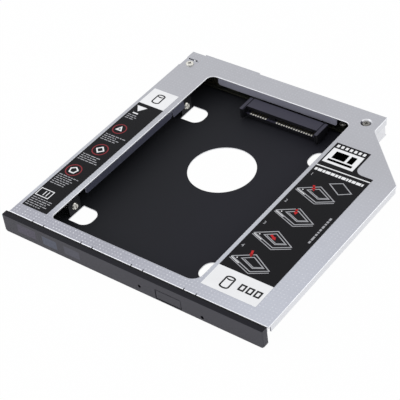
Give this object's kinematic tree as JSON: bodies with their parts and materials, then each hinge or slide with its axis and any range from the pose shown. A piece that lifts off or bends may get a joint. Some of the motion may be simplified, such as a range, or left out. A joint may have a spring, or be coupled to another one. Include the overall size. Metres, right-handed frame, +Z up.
{
  "type": "laptop drive caddy",
  "caption": "Slim metal caddy that carries a 2.5 inch drive in a laptop's optical drive bay, with a drive socket, a rear plug and a black faceplate.",
  "frame": {"origin": "centre of the bounding box's base, on the surface that the caddy lies on", "axes": "+X to the right, +Y from the faceplate to the rear plug, +Z up"},
  "size_m": [0.1296, 0.129, 0.0094],
  "materials": {
    "frame_metal": "fine textured silver sheet",
    "tray_metal": "satin black sheet with bare edges",
    "faceplate_plastic": "fine matt moulding",
    "button_plastic": "fine matt moulding",
    "board_laminate": "black solder mask",
    "capacitor_ceramic": "fired ceramic with tinned ends",
    "socket_plastic": "moulded black",
    "contact_metal": "thin gold plating",
    "screw_metal": "bright nickel",
    "label_film": "printed film"
  },
  "bodies": {
    "chassis": {"top_frame": "frame_metal", "bottom_tray": "tray_metal", "front_bezel": "faceplate_plastic", "adapter_board": "board_laminate", "board_capacitors": "capacitor_ceramic", "drive_receptacle": "socket_plastic", "drive_signal_contacts": "contact_metal", "drive_power_contacts": "contact_metal", "host_plug": "socket_plastic", "host_signal_contacts": "contact_metal", "host_power_contacts": "contact_metal", "top_screw_left": "screw_metal", "top_screw_right": "screw_metal", "board_screw_left": "screw_metal", "board_screw_right": "screw_metal", "left_label": "label_film", "right_label": "label_film"},
    "button": {"eject_button": "button_plastic"},
    "front_screw": {"locating_screw_front": "screw_metal"},
    "rear_screw": {"locating_screw_rear": "screw_metal"}
  },
  "joints": [
    {"name": "button_press", "type": "slide", "parent": "chassis", "child": "button", "axis": [0, 1, 0], "range_m": [0, 0.0008], "stiffness_N_per_m": 900},
    {"name": "front_screw_travel", "type": "slide", "parent": "chassis", "child": "front_screw", "axis": [1, 0, 0], "range_m": [-0.001, 0.0026]},
    {"name": "rear_screw_travel", "type": "slide", "parent": "chassis", "child": "rear_screw", "axis": [1, 0, 0], "range_m": [-0.001, 0.0026]}
  ]
}
